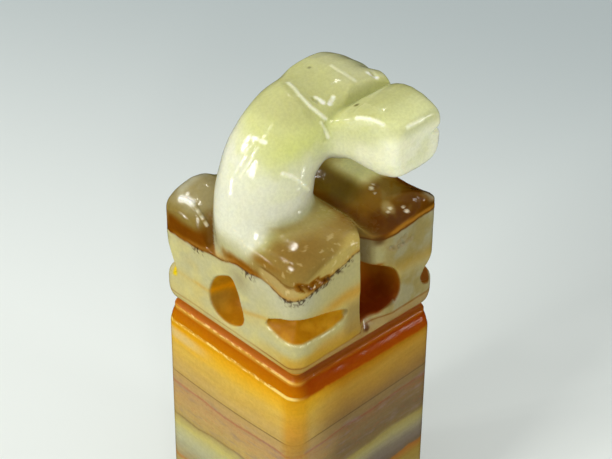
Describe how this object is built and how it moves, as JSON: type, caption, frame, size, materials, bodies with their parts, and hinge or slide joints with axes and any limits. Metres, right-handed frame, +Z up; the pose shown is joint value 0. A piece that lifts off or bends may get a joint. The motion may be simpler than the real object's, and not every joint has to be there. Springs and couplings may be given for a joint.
{
  "type": "seal stamp",
  "caption": "Square stone seal stamp with a carved snake knob, a groove under the knob and a raised fret on its sealing face.",
  "frame": {"origin": "middle of the sealing face, at the bottom", "axes": "+Z up along the column, +X the way the snake's head looks, -Y the side that the neck rises on"},
  "size_m": [0.025, 0.025, 0.0769],
  "materials": {
    "seal_face_stone": "ground flat, fine satin",
    "cream_stone": "polished",
    "brown_stone": "polished",
    "yellow_green_stone": "polished",
    "grey_lilac_stone": "polished",
    "greenish_white_stone": "polished",
    "red_lined_stone": "polished",
    "amber_stone": "polished, translucent at the edges",
    "white_stone_foot": "polished",
    "white_stone_ring": "polished",
    "white_stone_lobes": "polished",
    "smoky_brown_stone_left": "polished, translucent",
    "smoky_brown_stone_back": "polished, translucent",
    "smoky_brown_stone_right": "polished, translucent",
    "olive_brown_stone": "polished, translucent",
    "clear_green_stone_neck": "polished, strongly translucent",
    "clear_green_stone_head": "polished, strongly translucent"
  },
  "bodies": {
    "root": {"seal_face_bed": "seal_face_stone", "base_bed_cream": "cream_stone", "base_bed_brown": "brown_stone", "column_bed_yellow_green": "yellow_green_stone", "column_bed_grey_lilac": "grey_lilac_stone", "column_bed_greenish_white": "greenish_white_stone", "column_bed_red_lined": "red_lined_stone", "shoulder_bed_amber": "amber_stone", "plinth_foot_bed": "white_stone_foot", "plinth_ring_bed": "white_stone_ring", "plinth_lobe_bed": "white_stone_lobes", "coil_left": "smoky_brown_stone_left", "coil_back": "smoky_brown_stone_back", "coil_right": "smoky_brown_stone_right", "front_lobe": "olive_brown_stone", "snake_neck": "clear_green_stone_neck", "snake_head": "clear_green_stone_head"}
  },
  "joints": []
}
